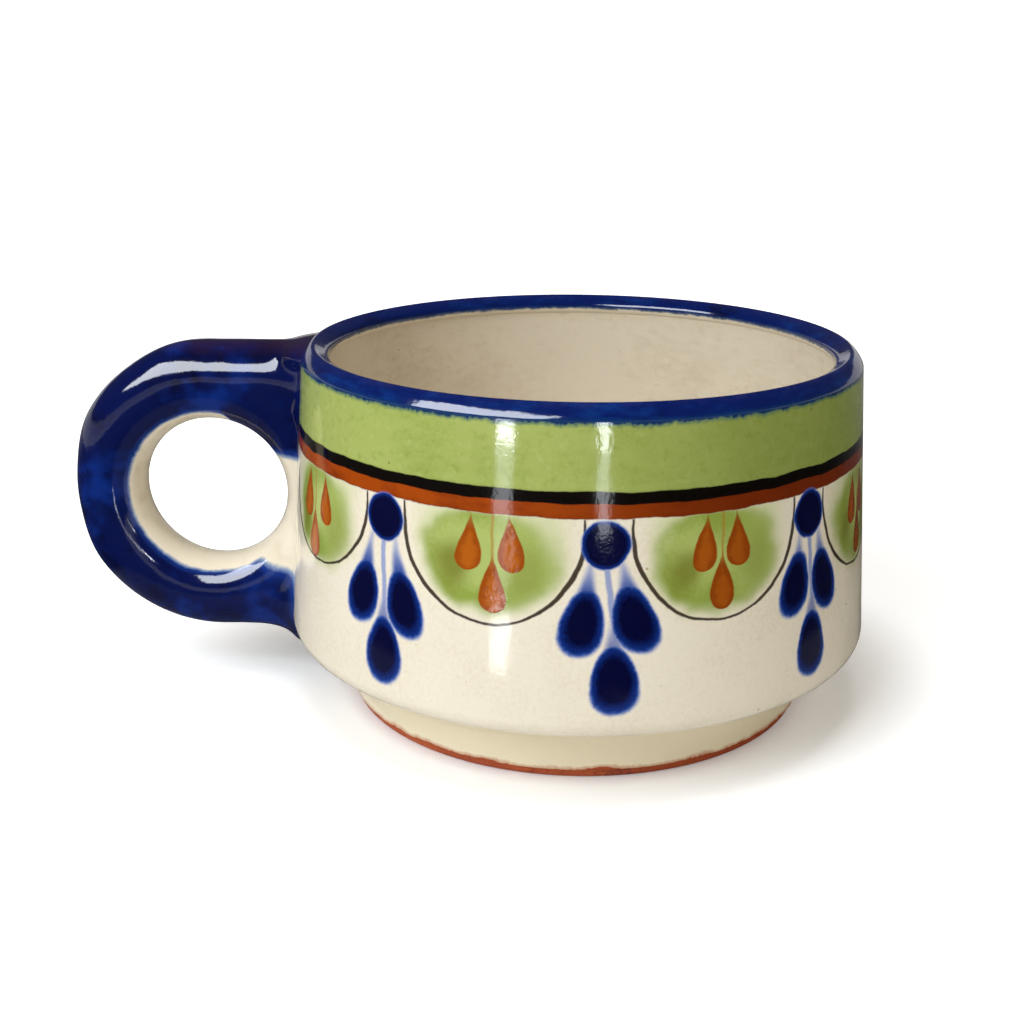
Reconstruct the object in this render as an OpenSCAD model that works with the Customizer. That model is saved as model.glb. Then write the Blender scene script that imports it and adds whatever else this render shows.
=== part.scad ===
// Low stacking cup in red clay with a ring handle and a coat of glaze.
// Millimetres. Origin at the centre of the standing face of the foot,
// +Z up along the cup's axis, the handle towards -X.

/* [Cup] */
// Height from the table to the top of the clay rim
cup_h = 57.3; // [45:0.1:90]
// Widest outside diameter of the clay, at the shoulder
belly_d = 93; // [80:0.5:115]
// Outside diameter of the clay at the rim
rim_d = 87; // [74:0.5:110]
// Thickness of the clay at the rim
rim_t = 3; // [2.4:0.1:5]
// Rounding of the shoulder above the foot
shoulder_r = 2.2; // [1.5:0.1:4]
// Thickness of the clay wall where it meets the floor
wall_t = 5; // [4:0.1:8]
// Rounding between the wall and the floor inside
bowl_r = 9; // [5:0.5:16]

/* [Floor and foot] */
// Height of the shoulder's underside above the table
step_h = 11.3; // [9:0.1:15]
// Thickness of the floor
floor_t = 7; // [5:0.1:10]
// Depth of the hollow under the floor
hollow_h = 6; // [4:0.1:8]
// Width of the step from the shoulder in to the foot
step_w = 9.4; // [6:0.1:14]
// Width of the foot ring
foot_w = 6; // [4:0.1:9]
// Rounding of the foot's two lower edges
foot_edge_r = 1; // [0.5:0.1:1.4]

/* [Ring handle] */
// Diameter of the finger hole in the clay
finger_d = 25; // [20:0.5:32]
// Thickness of the clay coil
coil_d = 11; // [8:0.1:14]
// Clay left between the finger hole and the wall
web_t = 2; // [1:0.1:4]
// How far the ring's centre lies below the middle of the wall
ring_drop = 2.1; // [0:0.1:5]

/* [Roots] */
// Thickness of a root where it leaves the coil
root_d = 11.4; // [7:0.1:13.5]
// Radius of the hollow flare that runs out onto the wall
flare_r = 8; // [6.5:0.5:14]
// How far from the wall the flare begins
flare_run = 6; // [4:0.1:6.4]
// How far the upper root rises above the coil at the rim
root_rise = 0.9; // [0:0.1:2.2]
// How far the lower root hangs below the coil at the shoulder
root_hang = 1.2; // [0:0.1:2]

/* [Glaze] */
// Thickness of the fired glaze
glaze_t = 0.4; // [0.25:0.05:0.6]
// How far the rim's colour comes down outside
rim_outside = 0.7; // [0.3:0.1:6]
// How far the rim's colour goes down inside
rim_inside = 0.5; // [0.3:0.1:6]
// Height of the bare clay edge above the table
bare_h = 1.6; // [1.5:0.1:4]

/* [Hidden] */
$fn = 96;

red_clay = [0.70, 0.33, 0.16];
slip_clay = [0.62, 0.27, 0.13];
cream = [0.88, 0.84, 0.74];
olive = [0.66, 0.70, 0.40];
cobalt = [0.05, 0.09, 0.38];

// Overrun of every cutting shape
past = 1;

// The wall's section hangs on three circles: shoulder, rim and bowl
floor_z = hollow_h + floor_t;
bowl_d = belly_d - wall_t * 2;
foot_r = belly_d / 2 - step_w;
seat_r = foot_r - foot_w;
rim_r = rim_t / 2;
rim_c = [rim_d / 2 - rim_r, cup_h - rim_r];
shoulder_c = [belly_d / 2 - shoulder_r, step_h + shoulder_r];
bowl_c = [bowl_d / 2 - bowl_r, floor_z + bowl_r];

// Angle of the line that touches two circles, the second above the first
function lean(low, high, gap) =
    atan2(high[1] - low[1], high[0] - low[0]) - acos(gap / norm(high - low));
out_a = lean(shoulder_c, rim_c, shoulder_r - rim_r);
in_a = lean(bowl_c, rim_c, bowl_r + rim_r);

// Points of an arc
arc_steps = 16;
function at(c, r, a) = c + r * [cos(a), sin(a)];
function arc(c, r, a0, a1) = [for (i = [0:arc_steps]) at(c, r, a0 + (a1 - a0) * i / arc_steps)];

// A point on the outside or inside wall, a given way below the rim's circle
function down_out(g, run) = at(rim_c, rim_r + g, out_a) - run * [-sin(out_a), cos(out_a)];
function down_in(g, run) = at(rim_c, rim_r + g, in_a + 180) - run * [-sin(in_a), cos(in_a)];

// Outside radius of the clay wall at a height
wall_foot = at(shoulder_c, shoulder_r, out_a);
function wall_out(z) = wall_foot[0] - (z - wall_foot[1]) * tan(out_a);

// Ring handle: it stands in the XZ plane and bites into the wall
coil_r = coil_d / 2;
ring_r = (finger_d + coil_d) / 2;
ring_z = (step_h + cup_h) / 2 - ring_drop;
upper_z = ring_z + ring_r;
lower_z = ring_z - ring_r;
// The web is left at the widest place between the ring's middle and its upper root
ring_x = max(wall_out(ring_z), wall_out(upper_z)) + web_t + finger_d / 2;

// Roots: they start inside the coil and end inside the wall
root_r = root_d / 2;
root_from = ring_x - coil_r / 2;
root_bite = rim_t;
// The roots are pressed flat a little beyond the coil's crown
upper_flat = upper_z + coil_r + root_rise;
lower_flat = lower_z - coil_r - root_hang;
// The lower root laps this far over the shoulder's edge
lap = 1.5;

// Clay cup: wall, rolled rim, shoulder and floor
module clay_cup() {
    color(red_clay) rotate_extrude() polygon(concat(
        [[0, hollow_h], [seat_r, hollow_h], [seat_r, step_h]],
        arc(shoulder_c, shoulder_r, -90, out_a),
        arc(rim_c, rim_r, out_a, in_a + 180),
        arc(bowl_c, bowl_r, in_a, -90),
        [[0, floor_z]]));
}

// Everything inside the cup's outer face, used to trim the handle to the wall
module cup_outside() {
    rotate_extrude() polygon(concat(
        [[0, step_h]],
        arc(shoulder_c, shoulder_r, -90, out_a),
        arc(rim_c, rim_r, out_a, 90),
        [[0, cup_h]]));
}

// Foot ring: luted round the floor, under the shoulder
module foot_ring() {
    color(red_clay) rotate_extrude() polygon(concat(
        [[seat_r, step_h]],
        arc([seat_r + foot_edge_r, foot_edge_r], foot_edge_r, 180, 270),
        arc([foot_r - foot_edge_r, foot_edge_r], foot_edge_r, -90, 0),
        [[foot_r, step_h]]));
}

// The closed coil, grown by g
module coil(g) {
    translate([-ring_x, 0, ring_z]) rotate([90, 0, 0])
        rotate_extrude() translate([ring_r, 0]) circle(coil_r + g);
}

// One flared root on its own axis at height z, grown by g and running into the wall
module flare(z, g) {
    stem = root_from - wall_out(z) - flare_run;
    end = stem + flare_run + root_bite;
    mouth_a = asin(flare_run / flare_r);
    edge = at([root_r + flare_r, stem], flare_r - g, 180 - mouth_a);
    translate([-root_from, 0, z]) rotate([0, 90, 0]) rotate_extrude() polygon(concat(
        [[0, 0], [root_r + g, 0]],
        arc([root_r + flare_r, stem], flare_r - g, 180, 180 - mouth_a),
        [[edge[0] + (end - edge[1]) * tan(mouth_a), end], [0, end]]));
}

// Block that keeps what lies between two heights of a root
module keep(low, high) {
    side = root_r + flare_r;
    translate([-root_from - past, -side, low]) cube([root_from, side * 2, high - low]);
}

module upper_flare(g) {
    intersection() {
        flare(upper_z, g);
        keep(ring_z, upper_flat + g);
    }
}

module lower_flare(g) {
    difference() {
        intersection() {
            flare(lower_z, g);
            keep(lower_flat - g, ring_z);
        }
        translate([0, 0, -past])
            cylinder(r = belly_d / 2 - lap, h = step_h + shoulder_r + past);
    }
}

// Ring and roots together, grown by g
module handle_form(g) {
    coil(g);
    upper_flare(g);
    lower_flare(g);
}

// Handle ring: a coil closed on itself and pressed onto the wall
module handle_ring() {
    color(red_clay) difference() {
        coil(0);
        cup_outside();
    }
}

// Upper root: clay worked in between the coil and the wall under the rim
module upper_root() {
    color(slip_clay) difference() {
        upper_flare(0);
        coil(0);
        cup_outside();
    }
}

// Lower root: the same at the shoulder
module lower_root() {
    color(slip_clay) difference() {
        lower_flare(0);
        coil(0);
        cup_outside();
    }
}

// Liner glaze: floor and inside of the wall
module liner_glaze() {
    color(cream) rotate_extrude() polygon(concat(
        [[0, floor_z]],
        arc(bowl_c, bowl_r, -90, in_a),
        [down_in(0, rim_inside), down_in(glaze_t, rim_inside)],
        arc(bowl_c, bowl_r - glaze_t, in_a, -90),
        [[0, floor_z + glaze_t]]));
}

// Rim glaze: the dark band over the rim
module rim_glaze() {
    color(cobalt) difference() {
        rotate_extrude() polygon(concat(
            [down_out(0, rim_outside), down_out(glaze_t, rim_outside)],
            arc(rim_c, rim_r + glaze_t, out_a, in_a + 180),
            [down_in(glaze_t, rim_inside), down_in(0, rim_inside)],
            arc(rim_c, rim_r, in_a + 180, out_a)));
        handle_form(glaze_t);
    }
}

// Wall glaze: wall, shoulder and the foot's side down to the bare edge
module wall_glaze() {
    color(olive) difference() {
        rotate_extrude() polygon(concat(
            [down_out(0, rim_outside)],
            arc(shoulder_c, shoulder_r, out_a, -90),
            [[foot_r, step_h], [foot_r, bare_h], [foot_r + glaze_t, bare_h],
             [foot_r + glaze_t, step_h - glaze_t]],
            arc(shoulder_c, shoulder_r + glaze_t, -90, out_a),
            [down_out(glaze_t, rim_outside)]));
        handle_form(glaze_t);
    }
}

// Handle glaze: over the ring and both roots
module handle_glaze() {
    color(cobalt) difference() {
        handle_form(glaze_t);
        handle_form(0);
        cup_outside();
    }
}

clay_cup();
foot_ring();
handle_ring();
upper_root();
lower_root();
liner_glaze();
rim_glaze();
wall_glaze();
handle_glaze();
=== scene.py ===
import math

import bpy
from mathutils import Matrix, Vector


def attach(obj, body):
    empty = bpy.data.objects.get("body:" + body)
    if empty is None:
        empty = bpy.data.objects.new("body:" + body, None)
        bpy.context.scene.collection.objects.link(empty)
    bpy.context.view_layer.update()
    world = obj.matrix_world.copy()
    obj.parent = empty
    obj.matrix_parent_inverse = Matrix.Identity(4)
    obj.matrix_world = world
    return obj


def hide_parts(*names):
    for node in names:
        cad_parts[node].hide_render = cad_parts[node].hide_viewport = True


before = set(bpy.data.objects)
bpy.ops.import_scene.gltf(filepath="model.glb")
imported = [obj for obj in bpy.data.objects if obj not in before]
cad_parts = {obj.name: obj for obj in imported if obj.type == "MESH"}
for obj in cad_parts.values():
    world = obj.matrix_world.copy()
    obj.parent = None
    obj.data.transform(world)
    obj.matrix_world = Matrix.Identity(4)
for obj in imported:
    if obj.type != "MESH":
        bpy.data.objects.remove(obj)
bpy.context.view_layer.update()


# ---------------------------------------------------------------------------
# Clay cup. Wheel-thrown red earthenware, wall and floor in one, biscuit-fired.
# The glaze hides it all but the hollow under the floor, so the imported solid
# stays as it is and only gets its fired-clay finish.

def fired(red, green, blue):
    """A colour read in 0-255 as it looks, given as the shader wants it."""
    shares = [c / 255 for c in (red, green, blue)]
    return tuple(c / 12.92 if c <= 0.04045 else ((c + 0.055) / 1.055) ** 2.4 for c in shares) + (1.0,)


class Reading:
    """A number that changes over the surface, such as a height in mm; sums on it become nodes."""

    def __init__(self, tree, socket):
        self.tree, self.socket = tree, socket

    def work(self, operation, *values):
        node = self.tree.nodes.new("ShaderNodeMath")
        node.operation = operation
        for place, value in zip(node.inputs, values):
            if isinstance(value, Reading):
                self.tree.links.new(value.socket, place)
            else:
                place.default_value = value
        return Reading(self.tree, node.outputs[0])

    def __add__(self, other):
        return self.work("ADD", self, other)

    def __sub__(self, other):
        return self.work("SUBTRACT", self, other)

    def __rsub__(self, other):
        return self.work("SUBTRACT", other, self)

    def __mul__(self, other):
        return self.work("MULTIPLY", self, other)

    def __truediv__(self, other):
        return self.work("DIVIDE", self, other)

    def __pow__(self, other):
        return self.work("POWER", self, other)

    def size(self):
        return self.work("ABSOLUTE", self)

    def most(self, other):
        return self.work("MAXIMUM", self, other)

    def least(self, other):
        return self.work("MINIMUM", self, other)

    def span(self, other):
        """The straight length over two readings that lie at right angles."""
        return (self ** 2.0 + other ** 2.0) ** 0.5

    def fade(self, low, high):
        """0 below low, 1 above high, and a soft rise between."""
        node = self.tree.nodes.new("ShaderNodeMapRange")
        node.interpolation_type = "SMOOTHSTEP"
        self.tree.links.new(self.socket, node.inputs["Value"])
        node.inputs["From Min"].default_value = low
        node.inputs["From Max"].default_value = high
        return Reading(self.tree, node.outputs["Result"])


class Finish:
    """One fired finish: a material, its shader, and the paint laid on it coat by coat."""

    def __init__(self, name, ground, rough):
        self.material = bpy.data.materials.new(name)
        self.material.use_nodes = True
        self.tree = self.material.node_tree
        self.shader = self.tree.nodes["Principled BSDF"]
        self.shader.inputs["IOR"].default_value = 1.5
        self.shader.inputs["Roughness"].default_value = rough
        self.colour = ground
        place = self.tree.nodes.new("ShaderNodeTexCoord")
        self.mm = self.tree.nodes.new("ShaderNodeVectorMath")
        self.mm.operation = "SCALE"
        self.mm.inputs["Scale"].default_value = 1000
        self.tree.links.new(place.outputs["Object"], self.mm.inputs[0])
        parts = self.tree.nodes.new("ShaderNodeSeparateXYZ")
        self.tree.links.new(self.mm.outputs[0], parts.inputs[0])
        self.x, self.y, self.z = (Reading(self.tree, s) for s in parts.outputs)

    def mottle(self, grain, detail=2.0, stretch=(1, 1, 1)):
        """An uneven field of spots about grain mm wide, as three readings around zero."""
        lie = self.tree.nodes.new("ShaderNodeMapping")
        lie.inputs["Scale"].default_value = stretch
        self.tree.links.new(self.mm.outputs[0], lie.inputs["Vector"])
        field = self.tree.nodes.new("ShaderNodeTexNoise")
        field.inputs["Scale"].default_value = 1 / grain
        field.inputs["Detail"].default_value = detail
        self.tree.links.new(lie.outputs[0], field.inputs["Vector"])
        parts = self.tree.nodes.new("ShaderNodeSeparateColor")
        self.tree.links.new(field.outputs["Color"], parts.inputs[0])
        return [Reading(self.tree, s) - 0.5 for s in parts.outputs]

    def specks(self, apart, across):
        """Small round specks, apart mm from each other on average; 1 in a speck and 0 beside it."""
        cells = self.tree.nodes.new("ShaderNodeTexVoronoi")
        cells.inputs["Scale"].default_value = 1 / apart
        self.tree.links.new(self.mm.outputs[0], cells.inputs["Vector"])
        lot = self.tree.nodes.new("ShaderNodeSeparateColor")
        self.tree.links.new(cells.outputs["Color"], lot.inputs[0])
        reach = Reading(self.tree, lot.outputs[0]) ** 4 * (across / 2 / apart)
        return (reach - Reading(self.tree, cells.outputs["Distance"])).fade(-0.01, 0.03)

    def lay(self, colour, cover):
        """Lays one more coat over what is there; cover is a reading from 0 to 1."""
        layer = self.tree.nodes.new("ShaderNodeMix")
        layer.data_type = "RGBA"
        share, under, over = layer.inputs[0], layer.inputs[6], layer.inputs[7]
        self.tree.links.new(cover.socket, share)
        over.default_value = colour
        if isinstance(self.colour, tuple):
            under.default_value = self.colour
        else:
            self.tree.links.new(self.colour, under)
        self.colour = layer.outputs[2]

    def close(self, relief=None, depth=0.0, rough=None):
        """Joins the paint, the relief, depth mm deep, and the roughness to the shader."""
        self.tree.links.new(self.colour, self.shader.inputs["Base Color"])
        if rough is not None:
            self.tree.links.new(rough.socket, self.shader.inputs["Roughness"])
        if relief is not None:
            bump = self.tree.nodes.new("ShaderNodeBump")
            bump.inputs["Strength"].default_value = 1.0
            bump.inputs["Distance"].default_value = depth / 1000
            self.tree.links.new(relief.socket, bump.inputs["Height"])
            self.tree.links.new(bump.outputs[0], self.shader.inputs["Normal"])
        return self.material


def biscuit(name):
    """Bare red clay: matt, sandy, a little darker and lighter in patches."""
    clay = Finish(name, fired(176, 74, 26), 0.8)
    broad, fine = clay.mottle(9.0), clay.mottle(0.7, 3.0)
    clay.lay(fired(192, 92, 38), (broad[0] + fine[0] * 0.6).fade(-0.15, 0.35))
    clay.lay(fired(128, 50, 22), (broad[1] + fine[1] * 0.7).fade(0.05, 0.4))
    clay.lay(fired(84, 36, 20), clay.specks(1.6, 0.5) * 0.7)
    return clay.close(fine[2] + fine[0] * 0.5, 0.16, fine[1] * 0.2 + 0.78)


red_clay = biscuit("red_clay")
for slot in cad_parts["clay_cup"].material_slots:
    slot.material = red_clay


# ---------------------------------------------------------------------------
# Foot ring. A turned ring of the same clay under the floor. Its standing edge
# was wiped clean of glaze, so it shows as a rough terracotta line.

mm = 0.001
foot_r, seat_r, step_h, edge_r = 37.1, 31.1, 11.3, 1.0


def arc(centre, radius, start, end, steps):
    """Points of an arc in the section, angles in degrees."""
    turns = [math.radians(start + (end - start) * i / steps) for i in range(steps + 1)]
    return [(centre[0] + radius * math.cos(t), centre[1] + radius * math.sin(t)) for t in turns]


def throw_on_wheel(name, section, around=192):
    """Draws a section, radius and height in mm, point by point and spins it about the cup's axis."""
    bpy.ops.object.select_all(action="DESELECT")
    bpy.ops.mesh.primitive_plane_add(size=mm)
    piece = bpy.context.object
    piece.name = piece.data.name = name
    bpy.ops.object.mode_set(mode="EDIT")
    bpy.ops.mesh.select_all(action="SELECT")
    bpy.ops.mesh.merge(type="CENTER")
    bpy.ops.transform.translate(value=(section[0][0] * mm, 0, section[0][1] * mm))
    for here, there in zip(section, section[1:]):
        step = ((there[0] - here[0]) * mm, 0, (there[1] - here[1]) * mm)
        bpy.ops.mesh.extrude_region_move(TRANSFORM_OT_translate={"value": step})
    bpy.ops.mesh.select_all(action="SELECT")
    bpy.ops.mesh.spin(steps=around, angle=2 * math.pi, center=(0, 0, 0), axis=(0, 0, 1))
    bpy.ops.mesh.select_all(action="SELECT")
    bpy.ops.mesh.remove_doubles(threshold=0.002 * mm)
    bpy.ops.mesh.normals_make_consistent(inside=False)
    bpy.ops.object.mode_set(mode="OBJECT")
    bpy.ops.object.shade_smooth_by_angle(angle=math.radians(35))
    return piece


foot = throw_on_wheel("foot", (
    [(seat_r, step_h)]
    + arc((seat_r + edge_r, edge_r), edge_r, 180, 270, 6)
    + arc((foot_r - edge_r, edge_r), edge_r, -90, 0, 8)
    + [(foot_r, step_h), (seat_r, step_h)]))
foot.data.materials.append(biscuit("bare_clay"))
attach(foot, "root")
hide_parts("foot_ring")


# ---------------------------------------------------------------------------
# Liner glaze. Cream tin glaze poured inside, over the floor and up the wall to
# the rim's blue. The brush and the thrower's fingers still show faintly.

coat = 0.4
rim_c, rim_r = (42.0, 55.8), 1.5
bowl_c, bowl_r = (32.5, 22.0), 9.0
rim_inside = 0.5


def lean(low, high, gap):
    """Angle of the straight wall that touches two circles of the section, in degrees."""
    rise, run = high[1] - low[1], high[0] - low[0]
    return math.degrees(math.atan2(rise, run) - math.acos(gap / math.hypot(rise, run)))


in_a = lean(bowl_c, rim_c, bowl_r + rim_r)


def down_in(thick, run):
    """A point on the inside wall, run mm below the rim's roll."""
    a = math.radians(in_a)
    return (rim_c[0] - (rim_r + thick) * math.cos(a) + run * math.sin(a),
            rim_c[1] - (rim_r + thick) * math.sin(a) - run * math.cos(a))


floor_z, floor_rings = bowl_c[1] - bowl_r, (0, 12, 24)
liner = throw_on_wheel("liner", (
    [(radius, floor_z) for radius in floor_rings]
    + arc(bowl_c, bowl_r, -90, in_a, 12)
    + [down_in(0, rim_inside), down_in(coat, rim_inside)]
    + arc(bowl_c, bowl_r - coat, in_a, -90, 16)
    + [(radius, floor_z + coat) for radius in reversed(floor_rings)]))

poured = Finish("liner_glaze", fired(228, 217, 196), 0.14)
cloud, grain = poured.mottle(16.0), poured.mottle(0.8, 3.0)
brush = poured.mottle(2.4, 3.0, (1, 0.6, 1.8))
poured.lay(fired(216, 203, 180), (cloud[0] + brush[0] * 0.7).fade(-0.1, 0.4) * 0.8)
poured.lay(fired(204, 188, 160), (cloud[1] * 0.6 + brush[1] + grain[1] * 0.6).fade(0.0, 0.5) * 0.6)
poured.lay(fired(150, 112, 78), poured.specks(3.2, 0.5) * 0.5)
liner.data.materials.append(poured.close(
    grain[2] * 0.2 + brush[0] * 0.5 + cloud[2] * 1.5, 0.14, grain[1] * 0.1 + 0.2))
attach(liner, "root")
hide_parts("liner_glaze")


# ---------------------------------------------------------------------------
# Rim glaze. A brushed band of cobalt over the rolled rim, thick enough to look
# near black, thinner and brighter where the roll turns over.

shoulder_c, shoulder_r = (44.3, 13.5), 2.2
rim_outside = 0.4
out_a = lean(shoulder_c, rim_c, shoulder_r - rim_r)


def down_out(thick, run):
    """A point on the outside wall, run mm below the rim's roll."""
    a = math.radians(out_a)
    return (rim_c[0] + (rim_r + thick) * math.cos(a) + run * math.sin(a),
            rim_c[1] + (rim_r + thick) * math.sin(a) - run * math.cos(a))


def rolled(point, facing, turns):
    """Draws the section on from a point: each turn has its radius and the way it faces at its end."""
    line = [point]
    for radius, to in turns:
        a = math.radians(facing)
        centre = (line[-1][0] - radius * math.cos(a), line[-1][1] - radius * math.sin(a))
        line += arc(centre, radius, facing, to, 8)[1:]
        facing = to
    return line


# the bevel and the crest, then the lip that falls into the cup
rim_roll, rim_lip, lip_foot = [(0.9, 27), (5.4, 50), (0.75, 117)], [(40, 119.3), (1.35, 240)], (40.3, 54.4)
rim = throw_on_wheel("rim", (
    [down_out(0, rim_outside)]
    + rolled(down_out(coat, rim_outside), out_a, rim_roll + rim_lip)
    + [lip_foot, down_in(0, rim_inside)]
    + arc(rim_c, rim_r, 180 + in_a, out_a, 10)
    + [down_out(0, rim_outside)]))

cobalt = Finish("rim_glaze", fired(4, 26, 90), 0.08)
cloud, grain = cobalt.mottle(11.0), cobalt.mottle(0.8, 3.0)
brush = cobalt.mottle(4.0, 3.0, (1, 1, 4))
cobalt.lay(fired(10, 52, 124), (cloud[0] + brush[0] + grain[0] * 0.3).fade(-0.05, 0.45) * 0.8)
cobalt.lay(fired(3, 7, 46), (cloud[1] + brush[1]).fade(0.05, 0.45) * 0.85)

# a violet bloom on the crest and thin blue at the foot, then cream where the blue ends inside
crest_z, thin_z, cream_z, cream_r = 57.0, 56.3, 55.95, 41.2
crown = cobalt.z + brush[2] * 0.7
bloom = (brush[1] + grain[0] * 0.6).fade(-0.2, 0.3)
cobalt.lay(fired(50, 48, 108), crown.fade(crest_z, crest_z + 0.8) * bloom * 0.5)
cobalt.lay(fired(10, 54, 98), (thin_z - crown).fade(0.0, 0.8) * 0.75)
edge = cobalt.z + brush[2] * 0.6 + grain[0] * 0.5
inside = (cream_r - cobalt.x.span(cobalt.y)).fade(0.0, 0.4)
cobalt.lay(fired(120, 132, 150), (cream_z - edge).fade(0.0, 0.45) * inside * 0.6)
cobalt.lay(fired(230, 220, 200), (cream_z - edge).fade(0.3, 0.65) * inside)
rim.data.materials.append(cobalt.close(
    grain[2] * 0.08 + brush[0] * 0.2 + cloud[2] * 1.0, 0.14, grain[1] * 0.05 + 0.09))
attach(rim, "root")
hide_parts("rim_glaze")


# ---------------------------------------------------------------------------
# Wall glaze. Cream glaze over the wall, shoulder and foot, painted freehand
# under the gloss: green band, black and orange stripes, scallops with a green
# wash and orange drops, and hanging sprays of cobalt drops between them.

bare_h, fillet_r = 1.6, 1.2
wall = throw_on_wheel("wall", (
    [down_out(0, rim_outside)]
    + arc(shoulder_c, shoulder_r, out_a, -90, 8)
    + [(foot_r, step_h), (foot_r, bare_h), (foot_r + coat, bare_h)]
    + arc((foot_r + coat + fillet_r, step_h - coat - fillet_r), fillet_r, 180, 90, 8)
    + arc(shoulder_c, shoulder_r + coat, -90, out_a, 16)
    + [down_out(coat, run) for run in (34, 24, 12, rim_outside)]
    + [down_out(0, rim_outside)]))

paint = Finish("painted_glaze", fired(242, 232, 211), 0.1)
cloud, hand, grain = paint.mottle(12.0), paint.mottle(5.0, 2.0), paint.mottle(0.55, 2.0)
fine, streak = paint.mottle(1.1, 3.0), paint.mottle(2.6, 3.0, (1, 1, 0.4))
stroke = paint.mottle(3.2, 3.0, (1, 1, 3))

# the bare glaze: warm clouds, fine brown specks, and a paler foot, which is painted light from the floor
paint.lay(fired(230, 217, 190), (cloud[0] * 0.8 + grain[0] * 0.9).fade(-0.15, 0.45) * 0.8)
paint.lay(fired(212, 192, 156), (cloud[1] + streak[1] * 0.5 + grain[1] * 0.5).fade(0.12, 0.6) * 0.55)
paint.lay(fired(150, 104, 62), paint.specks(2.4, 0.55) * 0.6)
# painted light: the foot lighter, as if lit from the white floor below
paint.lay(fired(252, 240, 208), (step_h - coat - paint.z).fade(0.0, 0.6) * 0.9)

# where the brush is: degrees round from the handle, and height, with the hand's wobble
turn = paint.x.work("ARCTAN2", 0 - paint.y, 0 - paint.x) * (180 / math.pi)
turn = turn.work("FLOORED_MODULO", turn, 360.0)
high = paint.z + hand[0] * 0.7 + grain[0] * 0.12
sway = hand[1] * 0.8 + grain[1] * 0.14
repeat, mm_per_degree = 41.35, 0.7906

# where the scallops end at the top, and where the orange, the black and the green begin, in mm
painted_z, orange_z, black_z, green_z = 42.9, 42.7, 44.65, 46.3


def motif(first, last):
    """Number of the nearest motif, and mm from its middle, to the right seen from outside."""
    count = (turn - first) / repeat
    count = count.work("ROUND", count).most(0.0).least(last)
    return count, (turn - (count * repeat + first)) * mm_per_degree + sway


def brushed(count, rows, low, top):
    """Three sizes given for each motif, in mm between low and top."""
    ramp = paint.tree.nodes.new("ShaderNodeValToRGB")
    ramp.color_ramp.interpolation = "CONSTANT"
    stops = ramp.color_ramp.elements
    while len(stops) < len(rows):
        stops.new(0.5)
    for i in range(len(rows)):
        stops[i].position = i / len(rows)
    for i, row in enumerate(rows):
        stops[i].color = [(v - low) / (top - low) for v in row] + [1.0]
    paint.tree.links.new(((count + 0.5) / len(rows)).socket, ramp.inputs[0])
    parts = paint.tree.nodes.new("ShaderNodeSeparateColor")
    paint.tree.links.new(ramp.outputs[0], parts.inputs[0])
    return [Reading(paint.tree, s) * (top - low) + low for s in parts.outputs]


def painted_shade_right(start, end):
    """Painted shade: a darker coat that stands for shade, from the right half of the front to the back."""
    return turn.fade(start, end) * (260 - turn).fade(0, 60)


# scallops: green wash, then three orange drops, then the brown line round them
scallop, s = motif(first=33.0, last=7.0)
drop_left, drop_right, drop_low = brushed(scallop, [
    (-4.6, 2.3, -1.6), (-3.0, 3.4, 0.6), (-2.8, 2.8, 0.1), (-2.4, 3.2, 0.9),
    (-3.2, 3.0, -0.2), (-2.9, 3.3, 0.4), (-3.3, 2.8, -0.3), (-3.0, 3.1, 0.2)], -6, 6)
hang, half_wide, shift = brushed(scallop, [
    (12.2, 12.8, 0.0), (13.8, 13.1, 0.45), (13.5, 12.8, 0.1), (13.0, 12.8, 0.0),
    (13.6, 12.6, 0.2), (13.2, 13.0, -0.3), (13.8, 12.7, 0.3), (13.3, 12.9, -0.2)], -2, 16)
s = s - shift
bow_z = 41.0
wash_z, wash_wide, wash_tall = 36.2, 10.8, 8.2
pool_x, pool_z, pool_wide, pool_tall = 5.2, 35.0, 4.2, 5.5
below = (painted_z - high).fade(0.0, 0.5)
bow = (s / half_wide).span((high - bow_z).least(0.0) / hang) - 1.0
wash = (s / wash_wide).span((high - wash_z) / wash_tall) + cloud[2] * 0.5 + hand[2] * 0.25
paint.lay(fired(208, 214, 160), (0 - bow - cloud[2] * 0.3).fade(0.0, 0.4) * below * 0.6)
paint.lay(fired(170, 186, 94), (1.0 - wash).fade(-0.15, 0.4) * below * 0.92)
ring = (1.0 - wash).fade(0.0, 0.3) * (wash - cloud[0] * 1.2 + grain[2] * 0.3).fade(0.25, 0.8)
paint.lay(fired(136, 156, 56), ring * below * (0.85 - s.fade(0.0, 6.0) * 0.45))
pool = ((s.size() - pool_x) / pool_wide).span((high - pool_z) / pool_tall)
pool = (1.0 - pool - cloud[1] * 0.8 - hand[2] * 0.5).fade(0.0, 0.9)
paint.lay(fired(110, 112, 16), pool * below * (0.75 - s.fade(-2.0, 3.0) * 0.45))

# each orange drop is round at its foot and runs out to a thin tip
drop_half, belly = 1.9, 1.5
widest = (0.5 / (0.5 + belly)) ** 0.5 * (belly / (0.5 + belly)) ** belly
raised = []
for foot_x, foot_z, tip_z, lean_x in (
        (drop_left, 34.5, 42.6, 0.5), (drop_right, 34.8, 42.6, -0.6), (drop_low, 28.9, 37.2, 0.0)):
    up = ((high - foot_z) / (tip_z - foot_z)).most(0.0).least(1.0)
    width = up ** 0.5 * (1 - up) ** belly * (drop_half / widest)
    past_end = (foot_z - high).most(0.0) + (high - tip_z).most(0.0)
    deep = width - (s - (up * lean_x + foot_x)).size() - past_end
    laid = deep.fade(-0.14, 0.12)
    paint.lay(fired(156, 72, 6), laid * (1 - up.fade(0.7, 1.0) * 0.3))
    paint.lay(fired(190, 100, 18), (deep + fine[0] * 2.0 + streak[0]).fade(0.2, 1.4) * 0.7)
    # painted shade on the right side of each drop
    paint.lay(fired(104, 38, 3), laid * painted_shade_right(85, 125) * 0.3)
    raised.append(deep.fade(-0.1, 0.3))
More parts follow.
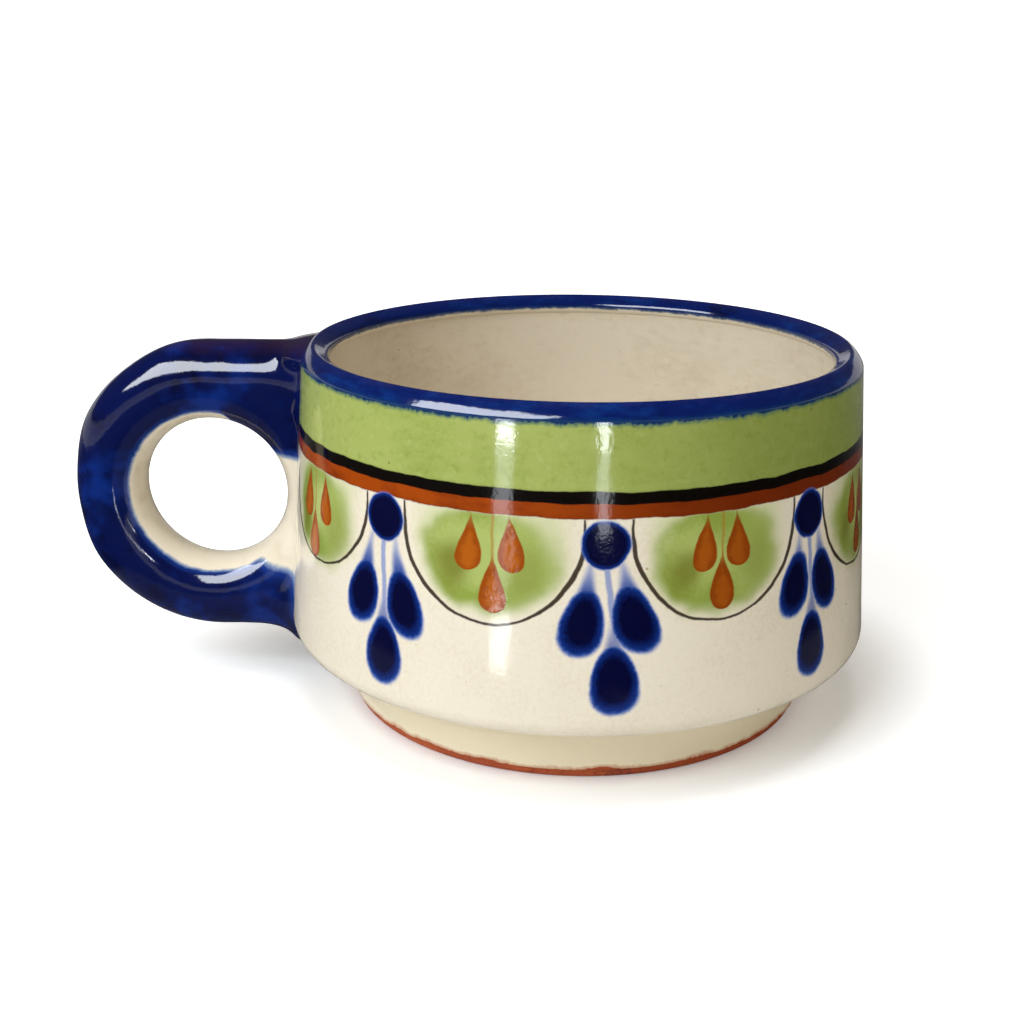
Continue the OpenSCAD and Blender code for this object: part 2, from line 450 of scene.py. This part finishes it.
stem = (0.2 - (s - drop_low).size()).fade(-0.1, 0.08) * (high - 35.5).fade(0.0, 1.0) * below
paint.lay(fired(170, 120, 40), stem * 0.6)
thick = (s.size() + hand[2] * 8.0).fade(3.0, 11.5) * (painted_z - high).fade(0.5, 5.0) * 0.14 + 0.17
paint.lay(fired(42, 22, 2), (thick - bow.size() * 13.0).fade(-0.12, 0.1) * below * 0.95)

# stripes: orange, black-brown over it, then the green band up to the rim
orange = (high - orange_z).fade(-0.08, 0.08)
paint.lay(fired(164, 68, 5), orange)
paint.lay(fired(122, 42, 2), orange * (hand[2] + stroke[2] * 0.7).fade(-0.1, 0.4) * 0.8)
# painted shade on the right side of the orange stripe
paint.lay(fired(104, 34, 3), orange * painted_shade_right(72, 122) * 0.86)
paint.lay(fired(96, 38, 12), (0.16 - (high - orange_z - 0.05).size()).fade(-0.1, 0.12) * 0.35)
paint.lay(fired(10, 5, 2), (high - black_z).fade(-0.1, 0.1))
green = (high - green_z).fade(-0.12, 0.14)
paint.lay(fired(168, 180, 97), green)
paint.lay(fired(142, 158, 70), green * (cloud[1] + stroke[0] * 0.5 + grain[1] * 0.35).fade(-0.15, 0.45) * 0.8)
paint.lay(fired(192, 202, 130), green * (cloud[2] + stroke[1] * 0.35 + grain[0] * 0.4).fade(0.08, 0.5) * 0.5)
paint.lay(fired(136, 152, 64), green * (fine[0] + stroke[2] * 0.4).fade(0.0, 0.35) * 0.55)
paint.lay(fired(196, 206, 132), green * fine[1].fade(0.05, 0.35) * 0.4)
# painted shade on the right side of the green band
paint.lay(fired(116, 132, 52), green * painted_shade_right(80, 125) * 0.48)
paint.lay(fired(112, 96, 40), green * paint.specks(3.6, 0.9) * 0.7)

# sprays: a dot under the stripe, two drops hung from it and one below on a stem
spray, p = motif(first=53.7, last=6.0)
left, right, mid = brushed(spray, [
    (-4.8, 4.8, 0.4), (-3.5, 5.1, 1.6), (-3.7, 4.8, 0.9), (-4.2, 4.1, 0.4),
    (-4.4, 4.0, -0.3), (-3.8, 4.4, 0.9), (-4.5, 3.9, 0.2)], -6, 6)
left_z, right_z, dot_z = brushed(spray, [
    (23.2, 23.0, 39.6), (23.6, 24.0, 39.1), (25.3, 24.5, 39.6), (24.0, 24.4, 39.4),
    (23.6, 24.2, 39.5), (24.6, 23.8, 39.2), (23.9, 24.6, 39.6)], 22, 42)
dot_r, egg, tail_z = 3.35, 0.25, 37.2
dot = dot_r - p.span(high - dot_z)
body, thin, wet = dot * 1.6, dot.fade(-0.35, 0.2), dot.fade(0.0, 0.5)
for foot_x, foot_z, tip_x, tip_z, half, tall, pale in (
        (left, left_z, left * 0.2 - 1.3, tail_z, 2.95, 4.7, 0.95),
        (right, right_z, right * 0.2 + 1.1, tail_z, 2.95, 4.7, 0.95),
        (mid, 15.2, mid * 0.75, 29.5, 3.1, 4.9, 0.7)):
    along = ((high - foot_z) / (tip_z - foot_z)).most(0.0).least(1.0)
    off = (p - ((tip_x - foot_x) * along + foot_x)).size()
    up = (high - foot_z) / tall - 1.0
    deep = (1.0 - (off / half * (up * egg + 1.0)).span(up)) * half
    tail = (1 - along) ** 1.2 * 3.4 + 0.35 - off
    tail = tail - (high - tip_z).most(0.0) - (0.35 - along).most(0.0) * 20
    body = body.most(deep)
    wet = wet.most(tail.fade(-0.3, 0.8) * (1 - along.fade(0.58, 0.95)) * pale)
    thin = thin.most(deep.fade(-0.4, 0.15))
    thin = thin.most(tail.fade(-0.5, 0.7) * (1 - along.fade(0.55, 1.0) * 0.4) * pale)
hair_top, hair_foot, hair_run = 37.0, 24.5, 11.0
drift = ((hair_top - high) / hair_run).most(0.0).least(1.0) * mid
hair = (0.42 - (p - drift).size()).fade(-0.2, 0.2)
hair = hair * (high - hair_foot).fade(0.0, 1.5) * (hair_top + 0.5 - high).fade(0.0, 1.0)
paint.lay(fired(84, 122, 198), thin.most(hair * 0.7))
paint.lay(fired(12, 46, 128), (body + grain[2] * 0.4).fade(-0.25, 0.35).most(wet * 0.85))
paint.lay(fired(1, 3, 48), (body + grain[1] * 0.6 + hand[2] * 0.5).fade(-0.1, 1.25))

# the rim's blue bleeding down, the handle's blue round its roots, and the bare edge of the foot
bleed = paint.z + streak[0] * 0.9 + grain[0] * 0.7
paint.lay(fired(58, 106, 100), bleed.fade(54.65, 55.3) * 0.7)
paint.lay(fired(8, 46, 94), bleed.fade(55.1, 55.5))
upper_root_z, upper_root_half, lower_root_z, lower_root_half = 50.5, 9.3, 14.2, 9.6
elsewhere = (paint.x + 35).fade(0.0, 5.0) * 100
side = paint.y.size() + elsewhere + grain[0] * 0.4
upper = (side / upper_root_half).span((paint.z - upper_root_z).least(0.0) / 11.5)
lower = (side / lower_root_half).span((paint.z - lower_root_z).most(0.0) / 7.5)
lower_blue = (1.0 - lower).fade(-0.03, 0.05) * (paint.z - 10.2).fade(0.0, 0.5)
paint.lay(fired(6, 18, 76), (1.0 - upper).fade(-0.03, 0.05).most(lower_blue))
wiped = hand[0] * 2.0 + grain[1] * 0.5 - paint.z
bare = (wiped + 1.75).fade(-0.12, 0.12)
paint.lay(fired(196, 122, 66), (wiped + 2.2).fade(-0.3, 0.4) * 0.6)
paint.lay(fired(176, 70, 20), bare)
raised = raised[0].most(raised[1]).most(raised[2])
wall.data.materials.append(paint.close(
    grain[2] * 0.08 + streak[0] * 0.12 + cloud[2] * 1.4 + raised * fine[2] * 0.35, 0.15,
    grain[1] * 0.05 + 0.09 + bare * 0.6))
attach(wall, "root")
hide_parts("wall_glaze")


# ---------------------------------------------------------------------------
# Handle. A coil of clay closed to a ring, pressed onto the wall and worked in
# above and below with a wet finger; dipped cobalt, left cream inside the ring.

ring_x, ring_z, ring_r = -59.7, 32.2, 18.0
coil_r = 6.2
bpy.ops.object.select_all(action="DESELECT")
bpy.ops.mesh.primitive_torus_add(
    major_segments=160, minor_segments=56, major_radius=ring_r * mm, minor_radius=coil_r * mm,
    location=(ring_x * mm, 0, ring_z * mm), rotation=(math.pi / 2, 0, 0))
handle = bpy.context.object
handle.name = handle.data.name = "handle"
bpy.ops.object.transform_apply(location=True, rotation=True, scale=True)


def push(piece, place, patch, way, follow):
    """Pushes a patch of the clay, patch mm round place, and lets the clay within follow mm go along."""
    bpy.ops.object.mode_set(mode="EDIT")
    bpy.ops.mesh.select_mode(type="VERT")
    bpy.ops.mesh.select_all(action="DESELECT")
    bpy.ops.object.mode_set(mode="OBJECT")
    for point in piece.data.vertices:
        point.select = (point.co - Vector(place) * mm).length < patch * mm
    bpy.ops.object.mode_set(mode="EDIT")
    bpy.ops.transform.translate(
        value=[v * mm for v in way], use_proportional_edit=True,
        proportional_edit_falloff="SMOOTH", proportional_size=follow * mm)
    bpy.ops.object.mode_set(mode="OBJECT")


# the hand left it thicker on top than at the back
push(handle, (ring_x, 0, ring_z + ring_r + coil_r), patch=5, way=(0, 0, 0.6), follow=11)
push(handle, (ring_x - ring_r - coil_r, 0, ring_z), patch=4, way=(0.8, 0, 0), follow=10)


def pull_root(height, thick, wall_x, flare, level):
    """A root pulled from the coil to the wall, where it flares; level mm above its middle it runs straight."""
    start, run, inside = ring_x + 2.5, 6.8, 3.5
    bpy.ops.object.select_all(action="DESELECT")
    bpy.ops.mesh.primitive_circle_add(
        vertices=72, radius=thick * mm, fill_type="NGON",
        location=(start * mm, 0, height * mm), rotation=(0, math.pi / 2, 0))
    root = bpy.context.object
    bpy.ops.object.transform_apply(location=True, rotation=True, scale=True)
    bpy.ops.object.mode_set(mode="EDIT")
    bpy.ops.mesh.select_all(action="SELECT")
    at, wide = start, thick
    for share in [0.0] + [math.sin(math.radians(a)) for a in range(15, 91, 5)]:
        to = wall_x - run + run * share
        bpy.ops.mesh.extrude_region_move(TRANSFORM_OT_translate={"value": ((to - at) * mm, 0, 0)})
        grown = thick + flare * (1 - math.sqrt(1 - share * share))
        bpy.ops.transform.resize(value=(1, grown / wide, grown / wide),
                                 center_override=(to * mm, 0, (height + level) * mm))
        at, wide = to, grown
    bpy.ops.mesh.extrude_region_move(TRANSFORM_OT_translate={"value": (inside * mm, 0, 0)})
    bpy.ops.mesh.select_all(action="SELECT")
    bpy.ops.mesh.normals_make_consistent(inside=False)
    bpy.ops.object.mode_set(mode="OBJECT")
    return root


roots = [
    pull_root(height=ring_z + ring_r + 0.6, thick=6.2, wall_x=-44.0, flare=2.8, level=6.2),
    pull_root(height=ring_z - ring_r, thick=6.1, wall_x=-46.7, flare=2.6, level=1.0)]


def cup_block(name, under, rim_under, bottom, top):
    """The cup's outside as a solid, under mm below the wall's glaze and rim_under mm below the rim's."""
    roll = [(radius - rim_under, facing) for radius, facing in rim_roll]
    return throw_on_wheel(name, (
        bottom + arc(shoulder_c, shoulder_r + coat - under, -73, out_a, 10)
        + rolled(down_out(coat - rim_under, rim_outside), out_a, roll) + top), 240)


def finish_with(piece, kind, **settings):
    """Adds one modifier, sets it and applies it."""
    bpy.ops.object.select_all(action="DESELECT")
    piece.select_set(True)
    bpy.context.view_layer.objects.active = piece
    step = piece.modifiers.new(kind.lower(), kind)
    for name, value in settings.items():
        setattr(step, name, value)
    bpy.ops.object.modifier_apply(modifier=step.name)


# a thumb of clay is smeared from the arm up to the rim's crest
smear_x, smear_z, smear_half = -41.5, 55.25, (7.0, 9.0, 2.45)
bpy.ops.object.select_all(action="DESELECT")
bpy.ops.mesh.primitive_uv_sphere_add(
    segments=72, ring_count=36, radius=mm, location=(smear_x * mm, 0, smear_z * mm), scale=smear_half)
smear = bpy.context.object
bpy.ops.object.transform_apply(location=True, rotation=True, scale=True)

# a block of the wall is worked together with coil, roots and smear, which rounds every joint
block_in, block_foot, block_top, block_x = 30, 12.5, 57.5, -36
block = cup_block("block", under=0.35, rim_under=0.2, bottom=[(block_in, block_foot)],
                  top=[(block_in, block_top), (block_in, block_foot)])
bpy.ops.object.mode_set(mode="EDIT")
bpy.ops.mesh.select_all(action="SELECT")
bpy.ops.mesh.bisect(plane_co=(block_x * mm, 0, 0), plane_no=(1, 0, 0), use_fill=True, clear_outer=True)
bpy.ops.object.mode_set(mode="OBJECT")
bpy.ops.object.select_all(action="DESELECT")
for each in [*roots, smear, block, handle]:
    each.select_set(True)
bpy.context.view_layer.objects.active = handle
bpy.ops.object.join()
finish_with(handle, "REMESH", mode="VOXEL", voxel_size=0.42 * mm)
finish_with(handle, "SMOOTH", factor=0.5, iterations=60)

# then the cup's own place is cut away, a hair under the glaze so that no gap shows
tuck, form_foot, form_top, form_r, crest_r = 0.12, 2, 64, 45.0, 41.6
cup_form = cup_block("cup_form", under=tuck, rim_under=tuck, bottom=[(0, form_foot), (form_r, form_foot)],
                     top=[(crest_r, form_top), (0, form_top)])
finish_with(handle, "BOOLEAN", operation="DIFFERENCE", object=cup_form, solver="EXACT")
bpy.data.objects.remove(cup_form)
bpy.ops.object.shade_smooth_by_angle(angle=math.radians(40))

dipped = Finish("handle_glaze", fired(4, 16, 70), 0.08)
cloud, hand, grain = dipped.mottle(9.0), dipped.mottle(3.5, 3.0), dipped.mottle(0.7, 3.0)
dipped.lay(fired(8, 44, 128), (cloud[0] + hand[0] * 0.6).fade(0.0, 0.3) * 0.85)
dipped.lay(fired(2, 5, 40), (cloud[1] + hand[1] * 0.5).fade(-0.05, 0.25) * 0.9)
dipped.lay(fired(58, 34, 62), (dipped.z + hand[1] * 2.0).fade(54.8, 57.2) * 0.45)
dipped.lay(fired(52, 26, 52), (cloud[2] + hand[2] * 0.5).fade(0.3, 0.6) * 0.35)

# cream inside the ring, and on the web between ring and wall from the lower root up to web_z
web_z = 38.9
out_x, out_z = dipped.x - ring_x, dipped.z - ring_z
inner = ring_r - out_x.span(out_z) - dipped.y.size() + hand[0] * 1.2 + grain[0] * 0.4
lower = (dipped.y / lower_root_half).span((dipped.z - lower_root_z).most(0.0) / 7.2)
web = ((lower - 1.0) * 7.0).least(web_z - dipped.z) + hand[1] * 0.6 + grain[0] * 0.3
near_wall = (dipped.x + out_z.fade(-4.0, 4.0) * 3.2).fade(-54.2, -50.8)
inner = inner * (1 - near_wall) + web * near_wall
dipped.lay(fired(24, 58, 140), inner.fade(-1.8, -0.2) * 0.75)
dipped.lay(fired(128, 148, 180), inner.fade(-0.5, 0.2))
dipped.lay(fired(238, 226, 203), inner.fade(0.0, 0.7))
dipped.lay(fired(205, 188, 156), inner.fade(0.4, 1.6) * (hand[2] + cloud[0]).fade(0.0, 0.5) * 0.7)
dipped.lay(fired(170, 132, 92), inner.fade(0.4, 0.8) * dipped.specks(2.2, 0.5) * 0.6)
handle.data.materials.append(dipped.close(
    grain[2] * 0.06 + hand[0] * 0.2 + cloud[2] * 1.0, 0.16, grain[1] * 0.04 + 0.08))
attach(handle, "root")
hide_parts("handle_ring", "upper_root", "lower_root", "handle_glaze")


# ---------------------------------------------------------------------------
# The set. A white paper floor that curves up far behind, a dark card on it that
# only the glaze mirrors, soft lamps from the left, above and right, and narrow
# panes low in front for the upright highlights on the wall.

sweep_from, sweep_r = 700, 300
sweep = arc((sweep_from, sweep_r), sweep_r, -90, -20, 16)
floor = throw_on_wheel("floor", [(radius, 0) for radius in (0, 100, 400)] + sweep, 96)
paper = bpy.data.materials.new("white_paper")
paper.use_nodes = True
tree = paper.node_tree
matt = tree.nodes["Principled BSDF"]
matt.inputs["Base Color"].default_value = (0.93, 0.93, 0.93, 1)
matt.inputs["Roughness"].default_value = 0.9
matt.inputs["Specular IOR Level"].default_value = 0.1
matt.inputs["Emission Color"].default_value = (1, 1, 1, 1)

# the paper is lifted to white for the camera, less so close to the cup, which paints a shade round the cup
# over its own shadow
spot, length = tree.nodes.new("ShaderNodeTexCoord"), tree.nodes.new("ShaderNodeVectorMath")
length.operation = "LENGTH"
tree.links.new(spot.outputs["Object"], length.inputs[0])
away = Reading(tree, length.outputs["Value"])
path = tree.nodes.new("ShaderNodeLightPath")
seen = Reading(tree, path.outputs["Is Camera Ray"])
glossy = Reading(tree, path.outputs["Is Glossy Ray"])
mirrored = glossy.most(Reading(tree, path.outputs["Is Transmission Ray"]))
distant = away.fade(0.1, 0.3) * 0.4
glow = seen * (away.fade(0.044, 0.07) * 0.32 + 0.2 + distant) + mirrored * distant * 0.5
tree.links.new(glow.socket, matt.inputs["Emission Strength"])
floor.data.materials.append(paper)

# the card: grey beside the cup, near black further out, pale far behind
card_in, card_out, card_z = 40, 690, 0.3
card = throw_on_wheel("card", [(card_in, card_z), (card_out, card_z)], 96)
felt = Finish("dark_card", (0.14, 0.14, 0.14, 1), 1.0)
felt.lay((0.006, 0.006, 0.006, 1), felt.x.span(felt.y).fade(94.0, 99.0))
felt.lay((0.8, 0.8, 0.8, 1), felt.y.fade(40.0, 480.0))
card.data.materials.append(felt.close())
card.visible_camera = card.visible_diffuse = card.visible_shadow = card.visible_transmission = False


def lamp(name, place, aim, wide, tall, watts, tint=(1, 1, 1)):
    """A soft box that stands at place, in mm, and faces aim."""
    bpy.ops.object.light_add(type="AREA", location=[v * mm for v in place])
    box = bpy.context.object
    box.name = name
    box.data.shape = "RECTANGLE"
    box.data.size, box.data.size_y = wide * mm, tall * mm
    box.data.energy, box.data.color = watts, tint
    away = Vector(place) - Vector(aim)
    box.rotation_euler = away.to_track_quat("Z", "Y").to_euler()
    return box


# three lamps light the cup unseen; the window's glass and the panes only show in the glaze
daylight, lamplight = (0.95, 1.0, 1.06), (1.0, 0.82, 0.6)
lamp("window", (-345, -410, 470), (0, 0, 30), 420, 420, 3.15, daylight).visible_glossy = False
lamp("top", (-60, -120, 720), (0, 0, 20), 300, 300, 1.5).visible_glossy = False
lamp("fill", (520, -260, 300), (0, 0, 30), 300, 300, 0.17, lamplight).visible_glossy = False
for name, place, aim, wide, tall, watts in (
        ("window_glass", (-370, -391, 465), (0, 0, 30), 620, 280, 7.4),
        ("strip_left", (-38.5, -98, 41.5), (-11.1, -44, 48.5), 10, 21, 0.0031),
        ("strip_dim", (-38.5, -98, 22.5), (-11.1, -44, 29.5), 10, 17, 0.0012),
        ("strip_low", (-38.5, -98, 8), (-11.1, -44, 15), 10, 12, 0.0028),
        ("pane_left", (-38.5, -98, 46.5), (-11.1, -44, 53), 10, 5, 0.0032),
        ("strip_right", (14, -104, 40), (4, -45, 47), 6, 24, 0.0025),
        ("pane_right", (14, -104, 47), (4, -45, 53), 6, 4, 0.0011)):
    strip = lamp(name, place, aim, wide, tall, watts, daylight)
    strip.visible_camera = strip.visible_diffuse = False

world = bpy.data.worlds.new("room")
bpy.context.scene.world = world
world.use_nodes = True
room = world.node_tree
walls = room.nodes["Background"]
walls.inputs["Color"].default_value = (1.0, 0.93, 0.82, 1)
room_path = room.nodes.new("ShaderNodeLightPath")
dim = 0.24 - Reading(room, room_path.outputs["Is Glossy Ray"]) * 0.18
room.links.new(dim.socket, walls.inputs["Strength"])

# the camera stands and looks as the photograph's did; its place is in metres
camera = bpy.data.objects.new("camera", bpy.data.cameras.new("camera"))
bpy.context.scene.collection.objects.link(camera)
camera.data.sensor_width = 36
camera.data.lens = 49.015
eye = (0.0, -0.21869, 0.10125)
to_right, to_top = (0.99873, 0.05024, 0.00387), (-0.0195, 0.31449, 0.94906)
ahead = (-0.04646, 0.94793, -0.31507)
camera.matrix_world = Matrix(
    [(to_right[i], to_top[i], -ahead[i], eye[i]) for i in range(3)] + [(0, 0, 0, 1)])
bpy.context.scene.camera = camera
bpy.context.scene.view_settings.view_transform = "Standard"
